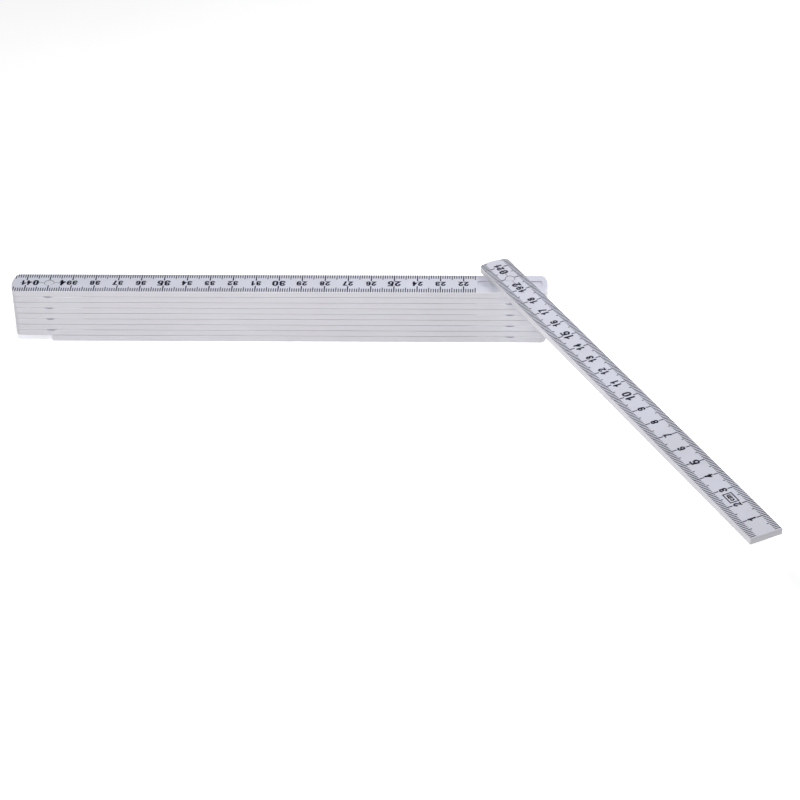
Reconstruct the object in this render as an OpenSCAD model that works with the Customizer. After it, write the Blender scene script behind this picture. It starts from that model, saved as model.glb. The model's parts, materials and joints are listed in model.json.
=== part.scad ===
// Two-metre folding rule: ten plastic legs on nine click joints. Legs 2 to 10 lie folded in a
// stack, leg 10 at the bottom, and leg 1 is swung out on top.
// Origin: on the underside of leg 10, halfway between the two rows of pivots. +X runs along the
// stack towards the odd joints, +Z up.

/* [Legs] */
// Distance between the two pivots of a leg
pivot_span = 200; // [120:10:250]
// Width of a leg
leg_width = 14; // [12:0.5:16]
// Thickness of a leg
leg_thick = 2.78; // [2.6:0.02:3.2]
// Gap between two neighbouring legs
leg_gap = 0.06; // [0.04:0.01:0.3]
// Distance from a pivot to the tip of its rounded end
end_reach = 16.4; // [15:0.2:18]
// Radius of the corners of a rounded end
corner_radius = 2; // [1.5:0.25:3.5]
// Bevel along the upper edges of a leg, which carries the ends of the printed ticks
upper_bevel = 0.25; // [0.1:0.05:0.4]
// Bevel along the lower edges of a leg
lower_bevel = 0.1; // [0.05:0.05:0.4]
// Bevel round the edges of a square end
end_bevel = 0.12; // [0.04:0.04:0.4]
// Angle by which leg 1 is opened from folded, in degrees
first_leg_angle = 118; // [0:1:180]

/* [Joints] */
// Radius of the pin's shank
pin_radius = 1.6; // [1.3:0.05:1.8]
// Radius of the pin's flat head
head_radius = 2.2; // [2:0.05:2.8]
// Thickness of the pin's head
head_thick = 0.7; // [0.5:0.05:0.8]
// Depth of the pin's head below the top face of its leg
head_recess = 0.12; // [0.02:0.02:0.2]
// Bevel round the pin's head
head_bevel = 0.1; // [0.05:0.05:0.2]
// Clearance between the pin and the lower leg's bore
pin_clearance = 0.05; // [0.02:0.01:0.1]
// Length of the seat for the spring on top of the lower leg
seat_length = 28; // [26:0.5:28.5]
// Width of the seat
seat_width = 5; // [4.75:0.25:7]
// Depth of the seat
seat_depth = 0.55; // [0.3:0.05:0.6]
// Width of the crossways click groove
groove_width = 4.6; // [3:0.2:5]
// Depth of the click groove
groove_depth = 0.5; // [0.2:0.05:0.6]
// Thickness of the detent spring
spring_thick = 0.45; // [0.3:0.05:0.5]
// Outer radius of the lock ring
ring_radius = 2.5; // [2.2:0.1:2.8]
// Thickness of the lock ring
ring_thick = 0.5; // [0.3:0.05:0.6]

/* [Hidden] */
$fn = 72;
small_fn = 48;

// Stack: ten legs, and the rise from one leg to the next.
leg_count = 10;
leg_rise = leg_thick + leg_gap;

// Rounded end: centre and direction of its corner arcs, which touch the end arc from inside.
corner_y = leg_width / 2 - corner_radius;
corner_x = sqrt(pow(end_reach - corner_radius, 2) - pow(corner_y, 2));
corner_angle = atan(corner_y / corner_x);

// Click groove: a cylinder that cuts its width and depth from the top face.
groove_radius = (pow(groove_width / 2, 2) + pow(groove_depth, 2)) / (2 * groove_depth);

// Spring pocket under the upper leg, and the counterbore for the ring under the lower leg.
spring_fit = 0.15;
spring_recess = 0.15;
pocket_depth = spring_thick + spring_recess;
eye_clearance = 0.1;
ring_recess = 0.15;
ring_end_play = 0.05;
ring_side_play = 0.4;
counterbore_depth = ring_recess + ring_thick + ring_end_play;

// Overshoot of a cutting shape past the face that it opens.
over = 1;

// Colours
plastic_colour = [0.86, 0.86, 0.90];
pin_colour = [0.80, 0.80, 0.85];
steel_colour = [0.62, 0.63, 0.66];

// Cross-section of a leg, bevelled along all four edges, drawn in Y and Z.
module leg_section() {
    half = leg_width / 2;
    shoulder = leg_thick - upper_bevel;
    polygon([
        [-half + lower_bevel, 0], [half - lower_bevel, 0], [half, lower_bevel], [half, shoulder],
        [half - upper_bevel, leg_thick], [-half + upper_bevel, leg_thick],
        [-half, shoulder], [-half, lower_bevel]
    ]);
}

// Straight stretch of a leg from one X to another.
module straight(from_x, to_x) {
    translate([from_x, 0, 0])
        rotate([90, 0, 90])
            linear_extrude(height = to_x - from_x)
                leg_section();
}

// What bevels the edges of a square end that lies at the origin.
module square_end_cuts() {
    side = end_bevel * sqrt(2);
    for (z = [0, leg_thick])
        translate([0, 0, z])
            rotate([0, 45, 0])
                cube([side, leg_width + 2 * over, side], center = true);
    for (y = [-leg_width / 2, leg_width / 2])
        translate([0, y, leg_thick / 2])
            rotate([0, 0, 45])
                cube([side, side, leg_thick + 2 * over], center = true);
}

// Sector of a disc as thick as a leg, with the leg's bevels round both rims, from one angle to
// another.
module bevelled_sector(radius, from_angle, to_angle) {
    shoulder = leg_thick - upper_bevel;
    rotate([0, 0, from_angle])
        rotate_extrude(angle = to_angle - from_angle)
            polygon([
                [0, 0], [radius - lower_bevel, 0], [radius, lower_bevel],
                [radius, shoulder], [radius - upper_bevel, leg_thick], [0, leg_thick]
            ]);
}

// Rounded end of a leg round a pivot at the origin, pointing along +X: the end arc, and the two
// corner arcs that run on from it to the leg's sides.
module rounded_end() {
    bevelled_sector(end_reach, -corner_angle, corner_angle);
    translate([corner_x, corner_y, 0])
        bevelled_sector(corner_radius, corner_angle, 90);
    translate([corner_x, -corner_y, 0])
        bevelled_sector(corner_radius, -90, -corner_angle);
}

// Bar with arc ends about the pivot: the shape of the spring, its pocket and its seat.
module arc_ended_bar(length, width, height) {
    intersection() {
        cylinder(h = height, d = length);
        translate([-length / 2, -width / 2, 0])
            cube([length, width, height]);
    }
}

// What a joint cuts from the leg above it: the pin's bore and head seat, and the spring pocket.
module upper_leg_cuts() {
    translate([0, 0, -over])
        cylinder(h = leg_thick + 2 * over, r = pin_radius, $fn = small_fn);
    translate([0, 0, leg_thick - head_recess - head_thick])
        cylinder(h = head_recess + head_thick + over, r = head_radius, $fn = small_fn);
    translate([0, 0, -over])
        arc_ended_bar(
            seat_length - 2 * spring_fit,
            seat_width - 2 * spring_fit,
            over + pocket_depth
        );
}

// What a joint cuts from the leg below it: the running bore, the spring's seat, the click groove
// and the counterbore for the lock ring.
module lower_leg_cuts() {
    translate([0, 0, -over])
        cylinder(h = leg_thick + 2 * over, r = pin_radius + pin_clearance, $fn = small_fn);
    translate([0, 0, leg_thick - seat_depth])
        arc_ended_bar(seat_length, seat_width, seat_depth + over);
    translate([0, leg_width / 2 + over, leg_thick + groove_radius - groove_depth])
        rotate([90, 0, 0])
            cylinder(h = leg_width + 2 * over, r = groove_radius);
    translate([0, 0, -over])
        cylinder(h = over + counterbore_depth, r = ring_radius + ring_side_play, $fn = small_fn);
}

// Leg along +X, underside at Z 0. A joint at the start carries the leg before it on top; a joint
// at X pivot_span holds the leg after it below. An end without a joint is cut square.
module leg(start_joint, end_joint) {
    difference() {
        union() {
            straight(
                start_joint ? -corner_x : 0,
                pivot_span + (end_joint ? corner_x : 0)
            );
            if (start_joint)
                rotate([0, 0, 180])
                    rounded_end();
            if (end_joint)
                translate([pivot_span, 0, 0])
                    rounded_end();
        }
        if (start_joint)
            lower_leg_cuts();
        else
            square_end_cuts();
        translate([pivot_span, 0, 0])
            if (end_joint)
                upper_leg_cuts();
            else
                square_end_cuts();
    }
}

// X of a joint, and direction of a leg: odd joints are at +X, and odd legs run towards them.
function joint_x(number) = (number % 2 == 1 ? 1 : -1) * pivot_span / 2;
function leg_bottom(number) = (leg_count - number) * leg_rise;
function leg_turn(number) = (number % 2 == 1 ? 0 : 180) + (number == 1 ? first_leg_angle : 0);

// Puts a shape made round a pivot at the origin onto the joint under a leg, turned as that leg.
module at_joint(number) {
    translate([joint_x(number), 0, leg_bottom(number)])
        rotate([0, 0, leg_turn(number)])
            children();
}

// Leg in its place, with a joint at its start unless it is the first, and at its end unless it
// is the last, whose square end lies where the next joint would be.
module placed_leg(number) {
    color(plastic_colour)
        at_joint(number)
            translate([-pivot_span, 0, 0])
                leg(number > 1, number < leg_count);
}

// Pin pressed into the upper leg, its head just below the top face. Its foot ends above the
// lower leg's underside.
module pivot_pin(number) {
    foot = ring_recess - leg_rise;
    head_bottom = leg_thick - head_recess - head_thick;
    color(pin_colour)
        at_joint(number) {
            translate([0, 0, foot])
                cylinder(h = head_bottom - foot, r = pin_radius, $fn = small_fn);
            translate([0, 0, head_bottom])
                cylinder(h = head_thick - head_bevel, r = head_radius, $fn = small_fn);
            translate([0, 0, head_bottom + head_thick - head_bevel])
                cylinder(
                    h = head_bevel,
                    r1 = head_radius,
                    r2 = head_radius - head_bevel,
                    $fn = small_fn
                );
        }
}

// Flat steel bar in the upper leg's pocket, with an eye for the pin.
module detent_spring(number) {
    color(steel_colour)
        at_joint(number)
            translate([0, 0, spring_recess])
                difference() {
                    arc_ended_bar(
                        seat_length - 4 * spring_fit,
                        seat_width - 4 * spring_fit,
                        spring_thick
                    );
                    translate([0, 0, -over])
                        cylinder(
                            h = spring_thick + 2 * over,
                            r = pin_radius + eye_clearance,
                            $fn = small_fn
                        );
                }
}

// Ring pressed on the pin's foot, in the counterbore under the lower leg.
module lock_ring(number) {
    color(steel_colour)
        at_joint(number)
            translate([0, 0, ring_recess - leg_rise])
                difference() {
                    cylinder(h = ring_thick, r = ring_radius, $fn = small_fn);
                    translate([0, 0, -over])
                        cylinder(h = ring_thick + 2 * over, r = pin_radius, $fn = small_fn);
                }
}

module leg_01() { placed_leg(1); }
module leg_02() { placed_leg(2); }
module leg_03() { placed_leg(3); }
module leg_04() { placed_leg(4); }
module leg_05() { placed_leg(5); }
module leg_06() { placed_leg(6); }
module leg_07() { placed_leg(7); }
module leg_08() { placed_leg(8); }
module leg_09() { placed_leg(9); }
module leg_10() { placed_leg(10); }

module pivot_pin_1() { pivot_pin(1); }
module pivot_pin_2() { pivot_pin(2); }
module pivot_pin_3() { pivot_pin(3); }
module pivot_pin_4() { pivot_pin(4); }
module pivot_pin_5() { pivot_pin(5); }
module pivot_pin_6() { pivot_pin(6); }
module pivot_pin_7() { pivot_pin(7); }
module pivot_pin_8() { pivot_pin(8); }
module pivot_pin_9() { pivot_pin(9); }

module detent_spring_1() { detent_spring(1); }
module detent_spring_2() { detent_spring(2); }
module detent_spring_3() { detent_spring(3); }
module detent_spring_4() { detent_spring(4); }
module detent_spring_5() { detent_spring(5); }
module detent_spring_6() { detent_spring(6); }
module detent_spring_7() { detent_spring(7); }
module detent_spring_8() { detent_spring(8); }
module detent_spring_9() { detent_spring(9); }

module lock_ring_1() { lock_ring(1); }
module lock_ring_2() { lock_ring(2); }
module lock_ring_3() { lock_ring(3); }
module lock_ring_4() { lock_ring(4); }
module lock_ring_5() { lock_ring(5); }
module lock_ring_6() { lock_ring(6); }
module lock_ring_7() { lock_ring(7); }
module lock_ring_8() { lock_ring(8); }
module lock_ring_9() { lock_ring(9); }

leg_01();
leg_02();
leg_03();
leg_04();
leg_05();
leg_06();
leg_07();
leg_08();
leg_09();
leg_10();
pivot_pin_1();
pivot_pin_2();
pivot_pin_3();
pivot_pin_4();
pivot_pin_5();
pivot_pin_6();
pivot_pin_7();
pivot_pin_8();
pivot_pin_9();
detent_spring_1();
detent_spring_2();
detent_spring_3();
detent_spring_4();
detent_spring_5();
detent_spring_6();
detent_spring_7();
detent_spring_8();
detent_spring_9();
lock_ring_1();
lock_ring_2();
lock_ring_3();
lock_ring_4();
lock_ring_5();
lock_ring_6();
lock_ring_7();
lock_ring_8();
lock_ring_9();
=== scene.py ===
"""Looks of the two-metre folding rule: its printed scale, plastic, steel, studio and camera.

Lengths are in metres, in the CAD frame. A leg's own axes are used for its print: along grows with
the numbers on the scale and starts at the leg's first centimetre, across is to the left of that.
"""

import json
import math

import bmesh
import bpy
from mathutils import Matrix, Vector


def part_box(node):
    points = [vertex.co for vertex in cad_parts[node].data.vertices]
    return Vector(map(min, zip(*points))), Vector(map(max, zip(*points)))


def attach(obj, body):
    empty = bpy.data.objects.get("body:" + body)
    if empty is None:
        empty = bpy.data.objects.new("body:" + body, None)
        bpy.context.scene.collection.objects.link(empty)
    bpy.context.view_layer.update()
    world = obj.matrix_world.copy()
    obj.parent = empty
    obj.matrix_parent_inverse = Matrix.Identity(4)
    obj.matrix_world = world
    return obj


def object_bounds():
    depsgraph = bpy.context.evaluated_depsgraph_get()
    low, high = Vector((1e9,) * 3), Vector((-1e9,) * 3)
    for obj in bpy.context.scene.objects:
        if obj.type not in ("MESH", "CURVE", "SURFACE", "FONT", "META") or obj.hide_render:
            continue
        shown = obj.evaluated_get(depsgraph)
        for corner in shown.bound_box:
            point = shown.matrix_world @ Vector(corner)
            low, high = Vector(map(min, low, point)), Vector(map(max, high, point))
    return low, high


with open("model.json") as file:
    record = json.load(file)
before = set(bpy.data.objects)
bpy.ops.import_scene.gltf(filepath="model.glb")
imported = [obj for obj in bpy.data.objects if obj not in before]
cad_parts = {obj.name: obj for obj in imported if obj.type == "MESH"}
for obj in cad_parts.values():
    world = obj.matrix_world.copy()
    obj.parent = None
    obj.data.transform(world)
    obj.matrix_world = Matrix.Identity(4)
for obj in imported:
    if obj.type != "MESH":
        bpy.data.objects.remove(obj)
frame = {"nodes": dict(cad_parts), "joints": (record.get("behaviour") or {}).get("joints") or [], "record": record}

cad_low, cad_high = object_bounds()

MM = 0.001
UP = Vector((0, 0, 1))
SCENE = bpy.context.scene

# ---------------------------------------------------------------- sizes of the printed scale, mm

LEG_COUNT = 10
LEG_LENGTH = 200
# Length of the ticks at each millimetre, half centimetre and centimetre, in from the leg's edge.
MM_TICK = 2.9
HALF_TICK = 3.75
CM_TICK = 4.9
TICK_WIDTH = 0.42
CM_TICK_WIDTH = 0.5
# How far a tick runs past the rim, down the bevel.
TICK_DROP = 0.1
# How far the print stops short of a pivot that a neighbouring leg covers, or runs past an open one.
HINGE_BLANK = 15
INK_HEIGHT = 0.02
INK_DEPTH = 0.02

# Numerals. Strokes along the leg are DIGIT_FLATNESS of the thickness of those across it.
DIGIT_HEIGHT = 3.65
DIGIT_WIDTH = 2.12
DIGIT_STROKE = 0.84
DIGIT_FLATNESS = 0.76
DIGIT_GAP = 0.28
# Every fifth centimetre has larger, wider numerals.
FIVES_SCALE = 1.18
FIVES_STRETCH = 1.08
# How far the two halves of a numeral stand from the pivot that splits it.
PIVOT_DIGIT = 5.8

# Framed unit mark, between the second and the third centimetre.
UNIT_MARK_CENTRE = 24.6
UNIT_MARK_HALF_LENGTH = 2.75
UNIT_MARK_HALF_HEIGHT = 1.8
UNIT_MARK_LINE = 0.5
UNIT_MARK_TEXT_SCALE = 0.74
UNIT_MARK_TEXT_RISE = 0.42

# Bare zone round a pivot: round the pin's head on top, round the lock ring's bore underneath.
HEAD_CLEAR = 2.3
FOOT_CLEAR = 3.1
CENTRE_LINE = 0.2
CENTRE_LINE_END = 12.6

# Painted shade in the gap round a pin's head, drawn as a dark ring of ink at the foot of its recess: its radius,
# width and depth below the top face.
HEAD_GAP_SHADE_RADIUS = 2.1
HEAD_GAP_SHADE_WIDTH = 0.2
HEAD_RECESS = 0.12

# Rounded end and edges of a leg, as in the CAD.
END_REACH = 16.4
CORNER_RADIUS = 2
UPPER_BEVEL = 0.25
LOWER_BEVEL = 0.1

# Softening of a leg's sharp edges: its width, and the angle past which an edge is sharp.
SOFT_EDGE = 0.08
SHARP_ANGLE_DEG = 35


# ---------------------------------------------------------------- legs

def joint(number):
    return next(j for j in frame["joints"] if j["name"] == f"hinge_{number}")


def mount(name):
    return next(m for m in frame["record"]["mounts"] if m["name"] == name)


class Leg:
    """Where a leg lies, and where its scale starts and ends."""

    def __init__(self, number):
        self.number = number
        self.node = f"leg_{number:02d}"
        self.body = f"section_{number:02d}"
        self.first = number == 1
        self.last = number == LEG_COUNT
        low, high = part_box(self.node)
        self.bottom, self.top = low[2], high[2]
        if self.first:
            zero_end = mount("zero_end")
            self.start = Vector(zero_end["pos_m"])
            self.along = -Vector(zero_end["axis"])
        else:
            self.start = Vector(joint(number - 1)["pos_m"])
            self.along = Vector((-1, 0, 0)) if number % 2 == 0 else Vector((1, 0, 0))
        self.across = UP.cross(self.along)
        self.half_width = (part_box("leg_10")[1][1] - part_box("leg_10")[0][1]) / 2 / MM
        self.from_mm = (number - 1) * LEG_LENGTH

    def place(self, scale_mm, across_mm, height_mm, face):
        """Point over the top face (face 1) or the underside (face -1)."""
        point = self.start + self.along * (scale_mm - self.from_mm) * MM
        point += self.across * across_mm * MM
        surface = self.top if face > 0 else self.bottom
        point.z = surface + face * height_mm * MM
        return point


LEGS = [Leg(number) for number in range(1, LEG_COUNT + 1)]


def half_width_at(past_pivot, half_width, inset):
    """Half the width of a rounded end, past_pivot beyond its pivot, with its outline moved in."""
    reach, corner = END_REACH - inset, CORNER_RADIUS - inset
    corner_y = half_width - CORNER_RADIUS
    corner_x = math.sqrt((END_REACH - CORNER_RADIUS) ** 2 - corner_y**2)
    if past_pivot <= corner_x:
        return half_width - inset
    if past_pivot <= corner_x * reach / (END_REACH - CORNER_RADIUS):
        return corner_y + math.sqrt(corner**2 - (past_pivot - corner_x) ** 2)
    return math.sqrt(reach**2 - past_pivot**2)


# ---------------------------------------------------------------- strokes of the numerals

def arc(centre, radii, from_deg, to_deg, steps=14):
    """Points on an ellipse from one angle to another."""
    points = []
    for i in range(steps + 1):
        angle = math.radians(from_deg + (to_deg - from_deg) * i / steps)
        points.append((centre[0] + radii[0] * math.cos(angle), centre[1] + radii[1] * math.sin(angle)))
    return points


# Least cosine and largest factor by which a mitred corner may stretch a line's width.
MITRE_COSINE = 0.3
MITRE_STRETCH = 1.8

# Each glyph is its width, as a share of a full digit, and its strokes' centre lines in a unit box.
# A stroke is (closed, points).
SIX_STEM = [(0, 0.3)] + arc((0.5, 0.68), (0.5, 0.32), 180, 35)
GLYPHS = {
    "0": (1, [(True, arc((0.5, 0.68), (0.5, 0.32), 0, 180) + arc((0.5, 0.32), (0.5, 0.32), 180, 360))]),
    "1": (1, [(False, [(0.64, 0), (0.64, 1)]), (False, [(0.05, 0.72), (0.55, 0.9)])]),
    "2": (1, [(False, arc((0.5, 0.7), (0.48, 0.3), 172, -32) + [(0.03, 0.02), (1, 0.02)])]),
    "3": (
        1,
        [
            (False, arc((0.46, 0.75), (0.46, 0.25), 158, -90) + [(0.3, 0.5)]),
            (False, [(0.3, 0.53)] + arc((0.46, 0.27), (0.52, 0.27), 90, -158)),
        ],
    ),
    "4": (1.05, [(False, [(0.66, 0.88), (0.04, 0.28), (0.96, 0.28)]), (False, [(0.72, 1), (0.72, 0)])]),
    "5": (
        1,
        [
            (False, [(0.94, 1), (0.14, 1), (0.06, 0.5)]),
            (False, arc((0.46, 0.32), (0.52, 0.31), 142, -158)),
        ],
    ),
    "6": (1, [(True, arc((0.5, 0.28), (0.5, 0.28), 0, 360, 24)[:-1]), (False, SIX_STEM)]),
    "7": (0.95, [(False, [(0, 1), (1, 1), (0.34, 0)])]),
    "8": (
        1,
        [
            (True, arc((0.5, 0.76), (0.44, 0.24), 0, 360, 24)[:-1]),
            (True, arc((0.5, 0.27), (0.5, 0.27), 0, 360, 24)[:-1]),
        ],
    ),
    "9": (
        1,
        [
            (True, arc((0.5, 0.72), (0.5, 0.28), 0, 360, 24)[:-1]),
            (False, [(1 - x, 1 - y) for x, y in SIX_STEM]),
        ],
    ),
    "c": (0.9, [(False, arc((0.55, 0.33), (0.5, 0.33), 48, 312, 20))]),
    "m": (
        1.5,
        [
            (False, [(0.02, 0), (0.02, 0.66)]),
            (False, arc((0.26, 0.42), (0.24, 0.24), 180, 0, 10) + [(0.5, 0)]),
            (False, arc((0.75, 0.42), (0.25, 0.24), 180, 0, 10) + [(1, 0)]),
        ],
    ),
}


def ribbon(points, width, closed, flatness):
    """Left and right edges of a line through the points, with mitred corners.

    The line is width thick where it runs across the leg, and flatness of that along the leg.
    """
    count = len(points)
    left, right = [], []
    for i, (x, y) in enumerate(points):
        before = points[i - 1] if closed or i > 0 else None
        after = points[(i + 1) % count] if closed or i < count - 1 else None
        directions = []
        if before:
            directions.append(Vector((x - before[0], y - before[1])).normalized())
        if after:
            directions.append(Vector((after[0] - x, after[1] - y)).normalized())
        middle = sum(directions, Vector((0, 0))).normalized()
        stretch = min(1 / max(middle.dot(directions[0]), MITRE_COSINE), MITRE_STRETCH)
        side = Vector((-middle.y, middle.x * flatness)) * width / 2 * stretch
        left.append((x + side.x, y + side.y))
        right.append((x - side.x, y - side.y))
    return left, right


def square_ends(points, extra):
    """The points of an open line, with both ends drawn out by extra."""
    drawn = [Vector(p) for p in points]
    drawn[0] += (drawn[0] - drawn[1]).normalized() * extra
    drawn[-1] += (drawn[-1] - drawn[-2]).normalized() * extra
    return [tuple(p) for p in drawn]


class Print:
    """Ink on one face of a leg: flat shapes, raised a hair above the plastic."""

    def __init__(self, leg, face):
        self.leg = leg
        self.face = face
        self.bevel = UPPER_BEVEL if face > 0 else LOWER_BEVEL
        self.clear = HEAD_CLEAR if face > 0 else FOOT_CLEAR
        self.side = "top" if face > 0 else "back"
        self.mesh = bmesh.new()
        self.ticks = []

    def quad(self, corners):
        """Corners are (scale mm, across mm, height above the face mm), in order round the quad."""
        points = [self.leg.place(*corner, self.face) for corner in corners]
        self.mesh.faces.new([self.mesh.verts.new(p) for p in points])

    def line(self, points, width, closed=False, height=INK_HEIGHT, flatness=1.0):
        """Line of ink through (scale mm, across mm) points."""
        left, right = ribbon(points, width, closed, flatness)
        last = len(points) if closed else len(points) - 1
        for i in range(last):
            j = (i + 1) % len(points)
            loop = [left[i], right[i], right[j], left[j]]
            self.quad([(x, y, height) for x, y in loop])

    def tick(self, scale_mm, side, length, width, rim):
        """Tick from the leg's edge inward, whose ink runs over the rim onto the bevel."""
        end = self.leg.half_width - length
        out = rim + TICK_DROP
        section = [
            (out, INK_HEIGHT - TICK_DROP), (rim, INK_HEIGHT), (end, INK_HEIGHT),
            (end, -INK_DEPTH), (rim, -INK_DEPTH), (out, -INK_DEPTH - TICK_DROP),
        ]
        self.ticks.append((scale_mm, width, [(side * y, z) for y, z in section]))

    def add_ticks(self):
        """Prism for each tick, made after the flat shapes have been thickened."""
        for scale_mm, width, section in self.ticks:
            rings = []
            for x in (scale_mm - width / 2, scale_mm + width / 2):
                points = [self.leg.place(x, y, z, self.face) for y, z in section]
                rings.append([self.mesh.verts.new(p) for p in points])
            self.mesh.faces.new(rings[0])
            self.mesh.faces.new(rings[1][::-1])
            for i in range(len(section)):
                j = (i + 1) % len(section)
                self.mesh.faces.new([rings[0][i], rings[0][j], rings[1][j], rings[1][i]])

    def text(self, words, centre_mm, scale=1.0, across=0.0, stretch=1.0):
        """Bold condensed text, read in the scale's direction, centred on a point."""
        height, width = DIGIT_HEIGHT * scale, DIGIT_WIDTH * scale * stretch
        stroke, gap = DIGIT_STROKE * scale, DIGIT_GAP * scale
        widths = [GLYPHS[c][0] * width for c in words]
        x = centre_mm - (sum(widths) + gap * (len(words) - 1)) / 2
        bottom = -height / 2
        for letter, letter_width in zip(words, widths):
            for closed, points in GLYPHS[letter][1]:
                placed = [
                    (
                        x + stroke / 2 + px * (letter_width - stroke),
                        self.face * (across + bottom + stroke / 2 + py * (height - stroke)),
                    )
                    for px, py in points
                ]
                ended = placed if closed else square_ends(placed, stroke / 2)
                self.line(ended, stroke, closed, flatness=DIGIT_FLATNESS)
            x += letter_width + gap

    def piece(self, name, material):
        """The ink as a closed, slightly raised body that rides on the leg."""
        made = bmesh.ops.extrude_face_region(self.mesh, geom=self.mesh.faces[:])
        lowered = [v for v in made["geom"] if isinstance(v, bmesh.types.BMVert)]
        depth = (INK_HEIGHT + INK_DEPTH) * MM * self.face
        bmesh.ops.translate(self.mesh, vec=(0, 0, -depth), verts=lowered)
        self.add_ticks()
        bmesh.ops.recalc_face_normals(self.mesh, faces=self.mesh.faces[:])
        data = bpy.data.meshes.new(name)
        self.mesh.to_mesh(data)
        self.mesh.free()
        data.materials.append(material)
        thing = bpy.data.objects.new(name, data)
        SCENE.collection.objects.link(thing)
        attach(thing, self.leg.body)
        return thing


def printed_range(leg, face):
    """First and last millimetre printed on a face, up to the hinge zone that a neighbour covers."""
    first, last = leg.from_mm, leg.from_mm + LEG_LENGTH
    if face > 0:
        first = 1 if leg.first else first + HINGE_BLANK
        last = last - 1 if leg.last else last + HINGE_BLANK
    else:
        first = 1 if leg.first else first - HINGE_BLANK
        last = last - 1 if leg.last else last - HINGE_BLANK
    return first, last


def visible_pivot(leg, face):
    """Scale position of the pivot that the face's print goes round, or None."""
    if face > 0:
        return None if leg.last else leg.from_mm + LEG_LENGTH
    return None if leg.first else leg.from_mm


def print_ticks(leg, face, ink):
    """Millimetre, half-centimetre and centimetre ticks along both edges."""
    print_ = Print(leg, face)
    pivot = visible_pivot(leg, face)
    first, last = printed_range(leg, face)
    for n in range(first, last + 1):
        length = CM_TICK if n % 10 == 0 else HALF_TICK if n % 5 == 0 else MM_TICK
        width = CM_TICK_WIDTH if n % 10 == 0 else TICK_WIDTH
        if n == pivot:
            length = leg.half_width - print_.clear
        past = 0 if pivot is None else max(0, (n - pivot) * face)
        rim = half_width_at(past, leg.half_width, print_.bevel)
        for side in (-1, 1):
            print_.tick(n, side, length, width, rim)
    return print_.piece(f"scale_ticks_{print_.side}_{leg.number:02d}", ink)


def print_numerals(leg, face, ink):
    """Centimetre numerals, split round the pivot, with its centre line, and on top a dark ring of painted shade in
    the gap round the pin's head.
    """
    print_ = Print(leg, face)
    pivot = visible_pivot(leg, face)
    first, last = printed_range(leg, face)
    for cm in range(math.ceil(first / 10), last // 10 + 1):
        scale, stretch = (FIVES_SCALE, FIVES_STRETCH) if cm % 5 == 0 else (1.0, 1.0)
        if cm * 10 != pivot:
            print_.text(str(cm), cm * 10, scale, 0, stretch)
            continue
        digits = str(cm)
        split = len(digits) - 1
        print_.text(digits[:split], pivot - PIVOT_DIGIT, scale)
        print_.text(digits[split:], pivot + PIVOT_DIGIT, scale)
        for way in (-1, 1):
            ends = [(pivot + way * print_.clear, 0), (pivot + way * CENTRE_LINE_END, 0)]
            print_.line(ends, CENTRE_LINE)
    if pivot is not None and face > 0:
        # Dark ring in the gap round the pin's head: painted shade, not print.
        rim = arc((pivot, 0), (HEAD_GAP_SHADE_RADIUS, HEAD_GAP_SHADE_RADIUS), 0, 360, 48)[:-1]
        print_.line(rim, HEAD_GAP_SHADE_WIDTH, True, INK_HEIGHT - HEAD_RECESS)
    if leg.first and face > 0:
        print_unit_mark(print_)
    return print_.piece(f"scale_numerals_{print_.side}_{leg.number:02d}", ink)


def print_unit_mark(print_):
    """Small framed unit mark between the second and the third centimetre."""
    corners = [(-1, -1), (1, -1), (1, 1), (-1, 1)]
    outline = [
        (UNIT_MARK_CENTRE + x * UNIT_MARK_HALF_LENGTH, y * UNIT_MARK_HALF_HEIGHT)
        for x, y in corners
    ]
    print_.line(outline, UNIT_MARK_LINE, True)
    print_.text("cm", UNIT_MARK_CENTRE, UNIT_MARK_TEXT_SCALE, UNIT_MARK_TEXT_RISE)


# ---------------------------------------------------------------- materials

RANGE_SOCKETS = ("From Min", "From Max", "To Min", "To Max")

FACE_WHITE = (0.645, 0.66, 0.76)
# Bevels: painted light, lighter than sides and faces to offset the shade in the crevices between stacked legs and
# to draw a highlight along the rims.
BEVEL_PAINTED_LIGHT = (0.75, 0.75, 0.79)
# Sides: painted shade, darker than the broad faces because the light falls on them less.
SHADED_SIDE_WHITE = (0.575, 0.568, 0.605)
PIN_WHITE = (0.63, 0.64, 0.73)
SPECK_GREY = (0.42, 0.42, 0.46)
CLOUD_SHADE = 0.93
FIBRE_SHADE = 0.72
INK_BLACK = (0.006, 0.007, 0.02)
INK_NAVY = (0.02, 0.022, 0.055)
INK_WORN = (0.14, 0.14, 0.2)
STEEL_DARK = (0.42, 0.43, 0.45)
STEEL_LIGHT = (0.6, 0.61, 0.63)
TARNISH = (0.3, 0.26, 0.22)
PAPER_DARK = (0.93, 0.93, 0.935)
PAPER_LIGHT = (0.95, 0.95, 0.955)


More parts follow.
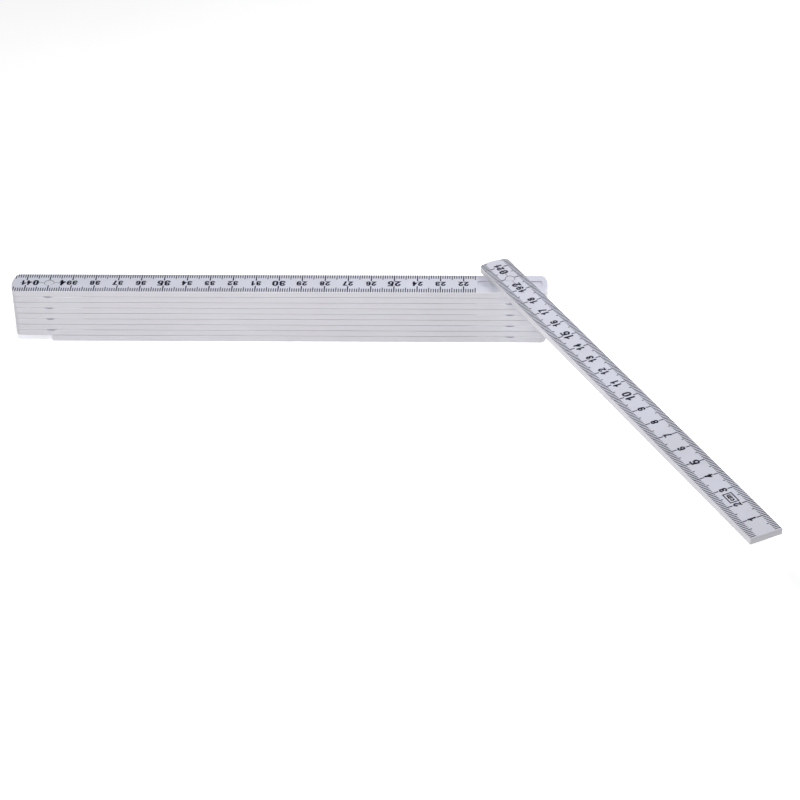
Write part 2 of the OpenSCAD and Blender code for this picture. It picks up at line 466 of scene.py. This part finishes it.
class Shader:
    """A material's node tree, built one node at a time."""

    def __init__(self, name):
        self.material = bpy.data.materials.new(name)
        self.material.use_nodes = True
        self.tree = self.material.node_tree
        self.surface = self.tree.nodes["Principled BSDF"]
        self.place = self.node("ShaderNodeTexCoord").outputs["Object"]

    def node(self, kind, **settings):
        made = self.tree.nodes.new(kind)
        for key, value in settings.items():
            setattr(made, key, value)
        return made

    def link(self, source, target):
        self.tree.links.new(source, target)

    def noise(self, scale, detail=2.0, stretch=None, roughness=0.5):
        """Noise over the object's own coordinates, in features per metre."""
        made = self.node("ShaderNodeTexNoise")
        made.inputs["Scale"].default_value = scale
        made.inputs["Detail"].default_value = detail
        made.inputs["Roughness"].default_value = roughness
        place = self.place
        if stretch:
            mapping = self.node("ShaderNodeMapping")
            mapping.inputs["Scale"].default_value = stretch
            self.link(place, mapping.inputs["Vector"])
            place = mapping.outputs["Vector"]
        self.link(place, made.inputs["Vector"])
        return made.outputs["Fac"]

    def remap(self, value, low, high, to_low, to_high):
        made = self.node("ShaderNodeMapRange")
        self.link(value, made.inputs["Value"])
        for key, number in zip(RANGE_SOCKETS, (low, high, to_low, to_high)):
            made.inputs[key].default_value = number
        return made.outputs["Result"]

    def blend(self, amount, first, second):
        """Colour between two colours or colour outputs."""
        made = self.node("ShaderNodeMix", data_type="RGBA")
        self.link(amount, made.inputs["Factor"])
        for value, name in ((first, "A"), (second, "B")):
            socket = next(s for s in made.inputs if s.name == name and s.type == "RGBA")
            if isinstance(value, bpy.types.NodeSocket):
                self.link(value, socket)
            else:
                socket.default_value = (*value, 1)
        return next(s for s in made.outputs if s.type == "RGBA")

    def bump(self, height, distance, strength=1.0, normal=None):
        made = self.node("ShaderNodeBump")
        made.inputs["Distance"].default_value = distance
        made.inputs["Strength"].default_value = strength
        self.link(height, made.inputs["Height"])
        if normal:
            self.link(normal, made.inputs["Normal"])
        return made.outputs["Normal"]

    def set(self, **values):
        for key, value in values.items():
            socket = self.surface.inputs[key.replace("_", " ")]
            if isinstance(value, bpy.types.NodeSocket):
                self.link(value, socket)
            else:
                socket.default_value = value


def plastic(name, face_colour, shaded_side_colour, stretch):
    """Glass-fibre filled white plastic: sides painted darker than the broad faces as painted shade, bevels painted
    lighter as painted light, fine fibres and pits.
    """
    s = Shader(name)
    normal = s.node("ShaderNodeTexCoord").outputs["Normal"]
    parts = s.node("ShaderNodeSeparateXYZ")
    s.link(normal, parts.inputs["Vector"])
    upright = s.node("ShaderNodeMath", operation="ABSOLUTE")
    s.link(parts.outputs["Z"], upright.inputs[0])
    # Bevel faces painted lighter: painted light against the crevice shade between legs, and a painted highlight on
    # the rims.
    painted_light_on_bevel = s.remap(upright.outputs[0], 0.3, 0.6, 0, 1)
    base = s.blend(painted_light_on_bevel, shaded_side_colour, BEVEL_PAINTED_LIGHT)
    # Broad faces in their own colour; the sides beside them keep the darker colour of painted shade.
    on_face = s.remap(upright.outputs[0], 0.8, 0.95, 0, 1)
    base = s.blend(on_face, base, face_colour)
    cloud = s.remap(s.noise(45, 3), 0.3, 0.7, 0, 0.4)
    base = s.blend(cloud, base, tuple(c * CLOUD_SHADE for c in shaded_side_colour))
    fibres = s.remap(s.noise(900, 4, stretch, 0.7), 0.55, 0.75, 0, 0.16)
    base = s.blend(fibres, base, tuple(c * FIBRE_SHADE for c in face_colour))
    specks = s.remap(s.noise(2600, 1), 0.70, 0.78, 0, 0.22)
    base = s.blend(specks, base, SPECK_GREY)
    rough = s.remap(s.noise(160, 4), 0.3, 0.7, 0.36, 0.5)
    fine = s.bump(s.noise(3800, 2), 0.00002, 0.35)
    streaks = s.bump(s.noise(700, 3, stretch), 0.00003, 0.3, fine)
    s.set(Base_Color=base, Roughness=rough, Normal=streaks)
    s.set(IOR=1.5)
    return s.material


def ink_material():
    """Navy-black pad print, a little uneven and thin in places."""
    s = Shader("scale_ink")
    uneven = s.remap(s.noise(1500, 3), 0.35, 0.75, 0, 1)
    base = s.blend(uneven, INK_BLACK, INK_NAVY)
    worn = s.remap(s.noise(5200, 2), 0.68, 0.8, 0, 0.2)
    base = s.blend(worn, base, INK_WORN)
    rough = s.remap(s.noise(900, 2), 0.3, 0.7, 0.5, 0.7)
    s.set(Base_Color=base, Roughness=rough, Normal=s.bump(s.noise(4000, 2), 0.00001, 0.4))
    s.set(Specular_IOR_Level=0.2)
    return s.material


def steel_material():
    """Rolled spring steel with fine grain and a trace of tarnish."""
    s = Shader("spring_steel")
    grain = s.noise(1200, 5, (0.06, 1, 1), 0.75)
    base = s.blend(s.remap(grain, 0.3, 0.7, 0, 1), STEEL_DARK, STEEL_LIGHT)
    tarnish = s.remap(s.noise(220, 3), 0.58, 0.75, 0, 0.35)
    base = s.blend(tarnish, base, TARNISH)
    rough = s.remap(grain, 0.3, 0.7, 0.24, 0.42)
    s.set(Base_Color=base, Roughness=rough, Normal=s.bump(grain, 0.00002, 0.4))
    s.set(Metallic=1.0)
    return s.material


def dress(node, material):
    """Gives a CAD node its material."""
    thing = frame["nodes"][node]
    thing.data.materials.clear()
    thing.data.materials.append(material)


leg_plastic = plastic("leg_plastic", FACE_WHITE, SHADED_SIDE_WHITE, (0.08, 1, 1))
swung_leg_plastic = plastic("swung_leg_plastic", FACE_WHITE, SHADED_SIDE_WHITE, (0.3, 0.16, 1))
pin_plastic = plastic("pin_plastic", PIN_WHITE, SHADED_SIDE_WHITE, (1, 1, 1))
spring_steel = steel_material()
scale_ink = ink_material()

for leg in LEGS:
    dress(leg.node, swung_leg_plastic if leg.first else leg_plastic)
for number in range(1, LEG_COUNT):
    dress(f"pivot_pin_{number}", pin_plastic)
    dress(f"detent_spring_{number}", spring_steel)
    dress(f"lock_ring_{number}", spring_steel)


# ---------------------------------------------------------------- edges

def round_edges(node, width):
    """Softens a CAD node's sharp edges, as moulding leaves them."""
    bevel = frame["nodes"][node].modifiers.new("soft_edges", "BEVEL")
    bevel.width = width
    bevel.segments = 2
    bevel.limit_method = "ANGLE"
    bevel.angle_limit = math.radians(SHARP_ANGLE_DEG)
    bevel.harden_normals = True


for leg in LEGS:
    round_edges(leg.node, SOFT_EDGE * MM)

for leg in LEGS:
    for face in (1, -1):
        print_ticks(leg, face, scale_ink)
        print_numerals(leg, face, scale_ink)


# ---------------------------------------------------------------- floor, light and camera

FLOOR_HALF = 6.0
FLOOR_DROP = 0.0002
FLOOR_GLOW = 0.48

# World strength near the horizon and overhead, and the heights between which it fades.
HORIZON_STRENGTH = 0.7
OVERHEAD_STRENGTH = 0.2
FADE_FROM = 0.12
FADE_TO = 0.4

SENSOR_WIDTH_MM = 36
CLIP_RANGE = (0.01, 50)


def floor(glow):
    """Wide pale sheet under the rule, faintly lit from below like a photographer's light table."""
    corners = [(-1, -1), (1, -1), (1, 1), (-1, 1)]
    data = bpy.data.meshes.new("floor")
    data.from_pydata([(x * FLOOR_HALF, y * FLOOR_HALF, 0) for x, y in corners], [], [(0, 1, 2, 3)])
    s = Shader("floor_paper")
    grain = s.remap(s.noise(30, 4), 0.3, 0.7, 0, 1)
    s.set(Base_Color=s.blend(grain, PAPER_DARK, PAPER_LIGHT), Roughness=0.9)
    s.set(Emission_Color=(1, 1, 1, 1), Emission_Strength=glow)
    data.materials.append(s.material)
    thing = bpy.data.objects.new("floor", data)
    thing.location.z = cad_low[2] - FLOOR_DROP
    SCENE.collection.objects.link(thing)


def area_light(name, target, azimuth, elevation, distance, size, power):
    """Square soft light aimed at a point. Azimuth 0 is the camera's side, 90 is to its right.

    Angles are in degrees, and power in watts.
    """
    a, e = math.radians(azimuth), math.radians(elevation)
    away = Vector((math.sin(a) * math.cos(e), -math.cos(a) * math.cos(e), math.sin(e)))
    data = bpy.data.lights.new(name, "AREA")
    data.size = size
    data.energy = power
    thing = bpy.data.objects.new(name, data)
    thing.location = target + away * distance
    thing.rotation_euler = away.to_track_quat("Z", "Y").to_euler()
    SCENE.collection.objects.link(thing)


def daylight(at_horizon, overhead):
    """White surroundings, brighter low down, shown without a tone curve so that white stays white."""
    SCENE.view_settings.view_transform = "Standard"
    world = bpy.data.worlds.new("studio")
    world.use_nodes = True
    nodes, links = world.node_tree.nodes, world.node_tree.links
    place = nodes.new("ShaderNodeTexCoord")
    parts = nodes.new("ShaderNodeSeparateXYZ")
    fade = nodes.new("ShaderNodeMapRange")
    sky = nodes["Background"]
    sky.inputs["Color"].default_value = (1, 1, 1, 1)
    links.new(place.outputs["Generated"], parts.inputs["Vector"])
    links.new(parts.outputs["Z"], fade.inputs["Value"])
    links.new(fade.outputs["Result"], sky.inputs["Strength"])
    for key, number in zip(RANGE_SOCKETS, (FADE_FROM, FADE_TO, at_horizon, overhead)):
        fade.inputs[key].default_value = number
    SCENE.world = world


def camera(target, heading, pitch, roll, distance, lens):
    """Camera that looks at a point: heading turns it from +Y towards +X, pitch looks down."""
    h, p, r = (math.radians(angle) for angle in (heading, pitch, roll))
    forward = Vector((math.sin(h) * math.cos(p), math.cos(h) * math.cos(p), -math.sin(p)))
    level_right = Vector((math.cos(h), -math.sin(h), 0))
    level_up = level_right.cross(forward)
    right = level_right * math.cos(r) + level_up * math.sin(r)
    up = level_up * math.cos(r) - level_right * math.sin(r)
    data = bpy.data.cameras.new("camera")
    data.lens = lens
    data.sensor_width = SENSOR_WIDTH_MM
    data.clip_start, data.clip_end = CLIP_RANGE
    thing = bpy.data.objects.new("camera", data)
    place = target - forward * distance
    turn = Matrix((right, up, -forward)).transposed().to_4x4()
    thing.matrix_world = Matrix.Translation(place) @ turn
    SCENE.collection.objects.link(thing)
    SCENE.camera = thing


first_pivot = Vector(joint(1)["pos_m"])
stack_middle = Vector((0.02, -0.03, first_pivot.z))
floor(FLOOR_GLOW)
daylight(HORIZON_STRENGTH, OVERHEAD_STRENGTH)
area_light(
    "softbox_overhead", stack_middle, azimuth=-30, elevation=67, distance=0.36, size=0.16, power=0.92
)
area_light("key_from_behind", first_pivot, azimuth=125, elevation=40, distance=0.4, size=0.15, power=0.95)
area_light("left_fill", first_pivot, azimuth=-115, elevation=15, distance=0.7, size=0.3, power=0.2)

# The camera was solved from marks on the legs in the photo.
stack_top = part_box("leg_02")[1][2]
looked_at = Vector((0.05146, 0, stack_top - 0.06135))
camera(looked_at, heading=-2.563, pitch=34.97, roll=-1.197, distance=1.07487, lens=108.26)
